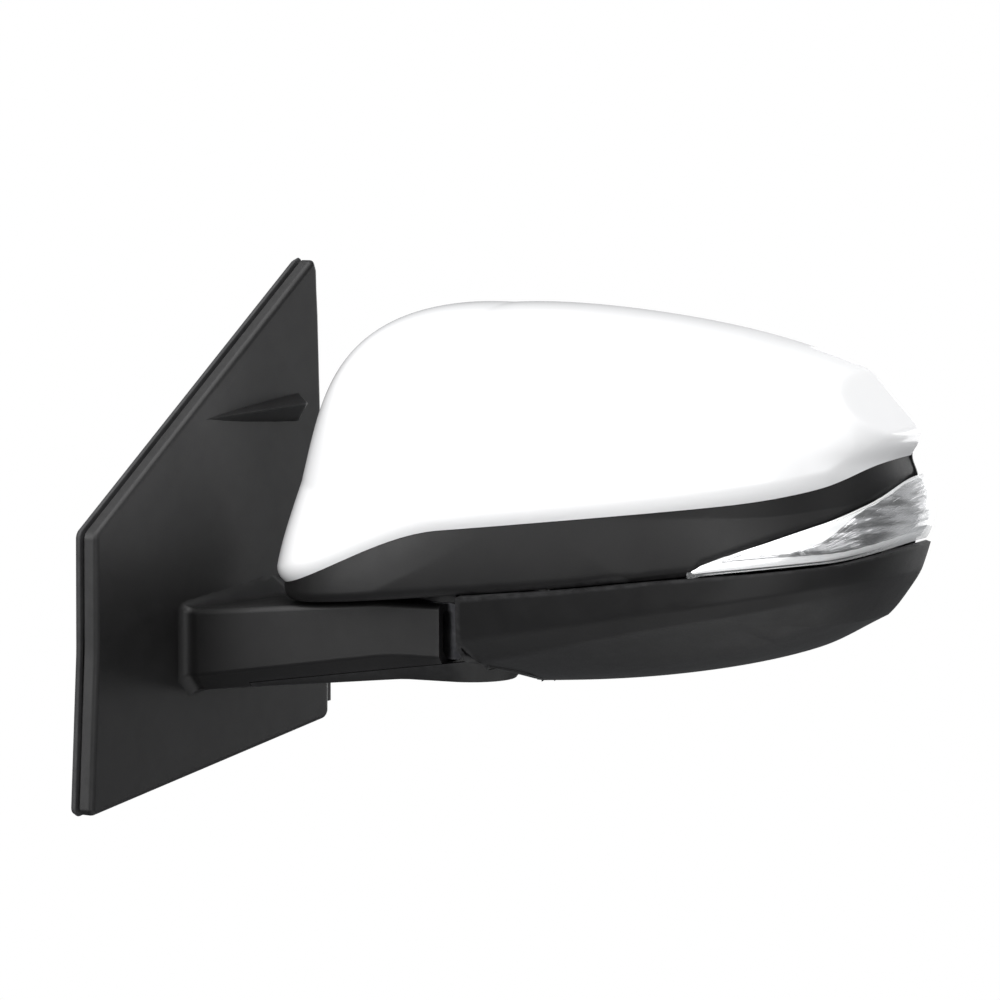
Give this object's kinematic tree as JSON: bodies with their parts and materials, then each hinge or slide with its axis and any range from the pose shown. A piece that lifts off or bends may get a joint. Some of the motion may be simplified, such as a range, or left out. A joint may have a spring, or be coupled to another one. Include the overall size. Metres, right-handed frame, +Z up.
{
  "type": "car side mirror",
  "caption": "Left-hand door mirror: sail base with arm, spring-detent folding head with painted cap, side turn-signal lamp and powered, heated glass.",
  "frame": {"origin": "point on the door face that the base is bolted to, near the root of the arm", "axes": "+X out of the door along the arm, -Y towards the front of the car, +Z up"},
  "size_m": [0.3038, 0.1639, 0.2097],
  "materials": {
    "cast_frame": "die-cast, satin",
    "black_plastic": "fine grained, matte",
    "rubber": "matte",
    "zinc_steel": "zinc plated",
    "black_screw": "black oxide",
    "spring_steel": "satin",
    "white_paint": "gloss painted, clear coated",
    "dark_plastic": "moulded, satin",
    "reflector": "metallised, mirror finish",
    "clear_lens": "clear moulded plastic, polished",
    "circuit_board": "solder mask",
    "led_body": "moulded",
    "motor_can": "drawn steel",
    "natural_plastic": "natural acetal",
    "heater_foil": "printed foil",
    "mirror": "silvered"
  },
  "bodies": {
    "base": {"base_frame": "cast_frame", "base_cover": "black_plastic", "arm_lower_cover": "black_plastic", "gasket": "rubber", "mounting_studs": "zinc_steel", "cable_grommet": "rubber", "arm_screws": "black_screw", "pivot_post": "zinc_steel", "detent_plate": "spring_steel", "spring_retainer": "zinc_steel"},
    "head": {"head_frame": "cast_frame", "detent_balls": "spring_steel", "fold_spring": "spring_steel", "front_housing": "black_plastic", "painted_cap": "white_paint", "lower_cover": "black_plastic", "rear_bezel": "black_plastic", "bezel_screws": "black_screw", "indicator_housing": "dark_plastic", "indicator_reflector": "reflector", "indicator_lens": "clear_lens", "led_board": "circuit_board", "leds": "led_body", "actuator_base": "dark_plastic", "actuator_cover": "dark_plastic", "actuator_screws": "zinc_steel", "pan_motor": "motor_can", "tilt_motor": "motor_can"},
    "gimbal": {"gimbal_ring": "natural_plastic"},
    "glass": {"glass_holder": "dark_plastic", "heater_pad": "heater_foil", "mirror_glass": "mirror"},
    "pan_drive_plunger": {"pan_plunger": "natural_plastic"},
    "tilt_drive_plunger": {"tilt_plunger": "natural_plastic"},
    "pan_drive_gear": {"pan_gear": "natural_plastic"},
    "tilt_drive_gear": {"tilt_gear": "natural_plastic"},
    "pan_drive_worm": {"pan_worm": "natural_plastic"},
    "tilt_drive_worm": {"tilt_worm": "natural_plastic"}
  },
  "joints": [
    {"name": "head_fold", "type": "hinge", "parent": "base", "child": "head", "pos_m": [0.118, 0.026, 0.005], "axis": [0, 0, 1], "range_deg": [-60, 55]},
    {"name": "glass_pan", "type": "hinge", "parent": "head", "child": "gimbal", "pos_m": [0.17317, 0.06455, 0.042], "axis": [0, 0, 1], "range_deg": [-9, 9]},
    {"name": "glass_tilt", "type": "hinge", "parent": "gimbal", "child": "glass", "pos_m": [0.17317, 0.06455, 0.042], "axis": [0.9903, 0.1392, 0], "range_deg": [-9, 9]},
    {"name": "pan_plunger_slide", "type": "slide", "parent": "head", "child": "pan_drive_plunger", "axis": [-0.1392, 0.9903, 0], "range_m": [-0.0046, 0.0046]},
    {"name": "tilt_plunger_slide", "type": "slide", "parent": "head", "child": "tilt_drive_plunger", "axis": [-0.1392, 0.9903, 0], "range_m": [-0.0046, 0.0046]},
    {"name": "pan_gear_spin", "type": "hinge", "parent": "head", "child": "pan_drive_gear", "pos_m": [0.20292, 0.05409, 0.042], "axis": [-0.1392, 0.9903, 0], "range_deg": [-162, 162]},
    {"name": "tilt_gear_spin", "type": "hinge", "parent": "head", "child": "tilt_drive_gear", "pos_m": [0.17519, 0.05019, 0.014], "axis": [-0.1392, 0.9903, 0], "range_deg": [-162, 162]},
    {"name": "pan_worm_spin", "type": "hinge", "parent": "head", "child": "pan_drive_worm", "pos_m": [0.19143, 0.05248, 0.042], "axis": [0, 0, 1], "range_deg": [-2260, 2260]},
    {"name": "tilt_worm_spin", "type": "hinge", "parent": "head", "child": "tilt_drive_worm", "pos_m": [0.17519, 0.05019, 0.0256], "axis": [0.9903, 0.1392, 0], "range_deg": [-2260, 2260]}
  ],
  "couplings": [
    {"joint": "pan_plunger_slide", "follows": "glass_pan", "m_per_rad": 0.028},
    {"joint": "tilt_plunger_slide", "follows": "glass_tilt", "m_per_rad": 0.028},
    {"joint": "pan_gear_spin", "follows": "glass_pan", "ratio": 17.593},
    {"joint": "tilt_gear_spin", "follows": "glass_tilt", "ratio": 17.593},
    {"joint": "pan_worm_spin", "follows": "glass_pan", "ratio": -246.3},
    {"joint": "tilt_worm_spin", "follows": "glass_tilt", "ratio": -246.3}
  ]
}
